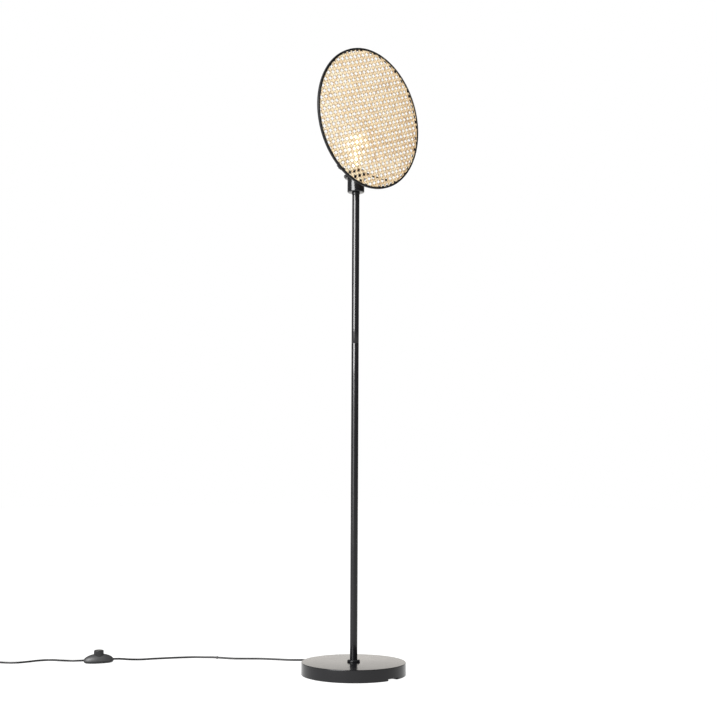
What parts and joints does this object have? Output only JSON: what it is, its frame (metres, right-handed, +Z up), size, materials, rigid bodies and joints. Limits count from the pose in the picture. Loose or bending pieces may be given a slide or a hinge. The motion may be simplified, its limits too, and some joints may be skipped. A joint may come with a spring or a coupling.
{
  "type": "rattan floor lamp",
  "caption": "Floor lamp with a slim black pole on a round weighted base and a round woven cane screen standing in front of a bare bulb, with a corded foot switch.",
  "frame": {"origin": "on the floor, on the axis of the pole, at the middle of the round base", "axes": "+Z up the pole; the face of the cane screen looks along -Y; +X is to the right of a person who looks at the face"},
  "size_m": [0.8308, 0.9045, 1.5281],
  "materials": {
    "black_enamel": "semi-gloss black powder coat",
    "cast_iron": "rough cast",
    "black_rubber": "matt",
    "zinc_steel": "zinc plated",
    "black_plastic": "satin moulded",
    "grey_plastic": "satin moulded",
    "white_ceramic": "glazed ceramic",
    "pale_brass": "plain",
    "clear_glass": "clear warm glass",
    "warm_filament": "coated filament sticks on a glass stem",
    "natural_cane": "woven split cane, oiled",
    "cord_jacket": "satin cable jacket"
  },
  "bodies": {
    "root": {"base_cover": "black_enamel", "base_weight": "cast_iron", "base_pad": "black_rubber", "base_washer": "zinc_steel", "base_nut": "zinc_steel", "foot_nipple": "zinc_steel", "foot_collar": "black_enamel", "pole_lower": "black_enamel", "pole_upper": "black_enamel", "pole_foot_bush": "zinc_steel", "pole_bush_lower": "zinc_steel", "pole_bush_upper": "zinc_steel", "pole_top_bush": "zinc_steel", "pole_joint_nipple": "zinc_steel", "top_nipple": "zinc_steel", "inner_lead": "cord_jacket", "cord_relief": "black_rubber", "holder_ferrule": "black_enamel", "holder_cup": "black_enamel", "cup_nut": "zinc_steel", "holder_body": "black_plastic", "terminal_block": "white_ceramic", "screw_shell": "pale_brass", "centre_contact": "pale_brass", "shade_ring": "black_plastic", "bulb_glass": "clear_glass", "bulb_cap": "zinc_steel", "bulb_insulator": "black_plastic", "bulb_tip": "zinc_steel", "bulb_filament": "warm_filament", "cord_base_to_switch": "cord_jacket", "cord_band": "grey_plastic", "switch_base": "black_plastic", "switch_cover": "grey_plastic", "switch_spring": "zinc_steel", "switch_mechanism": "white_ceramic", "cord_clamp_left": "black_plastic", "cord_clamp_right": "black_plastic", "switch_screw_left": "zinc_steel", "switch_screw_right": "zinc_steel", "cord_switch_to_coil": "cord_jacket", "cord_coil": "cord_jacket", "coil_tie": "black_rubber", "cord_coil_to_plug": "cord_jacket", "plug_relief": "black_rubber", "plug_body": "black_plastic", "plug_pin_left": "zinc_steel", "plug_pin_right": "zinc_steel"},
    "bracket": {"bracket_arm": "black_enamel", "clamp_cap": "black_enamel", "clamp_screw": "zinc_steel", "clamp_nut": "zinc_steel"},
    "screen": {"screen_ring": "black_enamel", "clamp_ring": "black_enamel", "cane_sheet": "natural_cane", "crossbar": "black_enamel", "crossbar_screw_left": "zinc_steel", "crossbar_screw_right": "zinc_steel"},
    "button": {"switch_button": "black_plastic"}
  },
  "joints": [
    {"name": "screen_swivel", "type": "hinge", "parent": "root", "child": "bracket", "pos_m": [0, 0, 1.211], "axis": [0, 0, 1], "continuous": true},
    {"name": "screen_tilt", "type": "hinge", "parent": "bracket", "child": "screen", "pos_m": [0, -0.043, 1.211], "axis": [1, 0, 0], "range_deg": [-8, 30]},
    {"name": "switch_press", "type": "slide", "parent": "root", "child": "button", "axis": [0, 0, -1], "range_m": [0, 0.0035], "stiffness_N_per_m": 500, "springref_m": -0.003, "deforming": ["switch_spring"]}
  ]
}
